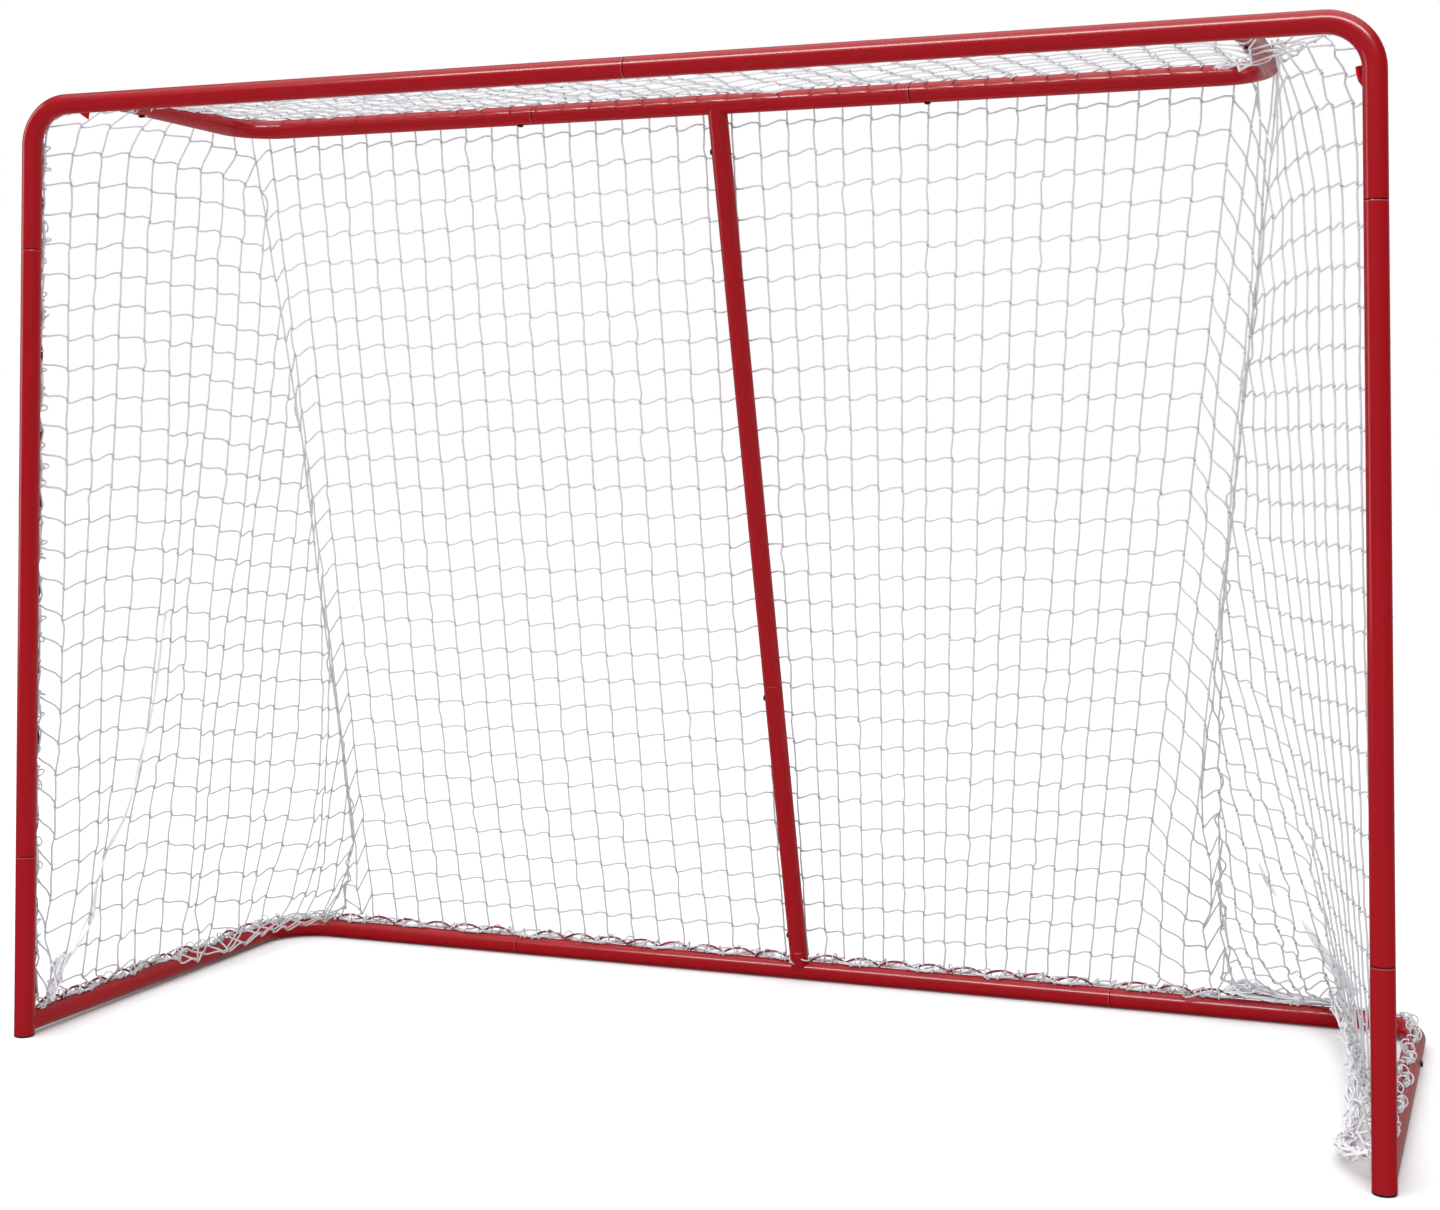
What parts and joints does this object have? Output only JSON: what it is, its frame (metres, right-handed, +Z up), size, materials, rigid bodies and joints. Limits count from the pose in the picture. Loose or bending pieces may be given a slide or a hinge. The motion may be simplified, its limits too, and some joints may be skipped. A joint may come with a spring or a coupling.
{
  "type": "hockey goal net",
  "caption": "Floor-hockey goal: push-together round steel tube frame with a rectangular mouth, a U-shaped base, a shallow top shelf, one raked rear post and a laced knotted net.",
  "frame": {"origin": "on the floor under the middle of the whole goal", "axes": "+X along the top bar towards the right post as seen from in front, +Y from the mouth to the back, +Z up"},
  "size_m": [1.6546, 0.6423, 1.1779],
  "materials": {
    "frame_paint": "gloss powder coat",
    "cap_plastic": "moulded",
    "screw_black": "black oxide",
    "rod_paint": "gloss powder coat",
    "net_cord": "twisted polyester cord",
    "border_rope": "braided cord",
    "tab_red": "coated tape"
  },
  "bodies": {
    "root": {"top_tube_left": "frame_paint", "top_tube_right": "frame_paint", "post_tube_left": "frame_paint", "post_tube_right": "frame_paint", "base_tube_left": "frame_paint", "base_tube_right": "frame_paint", "base_corner_left": "frame_paint", "base_corner_right": "frame_paint", "base_tee": "frame_paint", "shelf_tee": "frame_paint", "shelf_arm_left": "frame_paint", "shelf_arm_right": "frame_paint", "centre_post_upper": "frame_paint", "centre_post_lower": "frame_paint", "foot_cap_left": "cap_plastic", "foot_cap_right": "cap_plastic", "frame_screws": "screw_black", "lacing_rod_top": "rod_paint", "lacing_rod_left_post": "rod_paint", "lacing_rod_right_post": "rod_paint", "lacing_rod_left_base": "rod_paint", "lacing_rod_right_base": "rod_paint", "lacing_rod_rear": "rod_paint", "net_top": "net_cord", "net_back": "net_cord", "net_left": "net_cord", "net_right": "net_cord", "net_gather": "net_cord", "border_cord_top": "border_rope", "border_cord_left": "border_rope", "border_cord_right": "border_rope", "border_cord_base": "border_rope", "corner_tab_left": "tab_red", "corner_tab_right": "tab_red"}
  },
  "joints": []
}
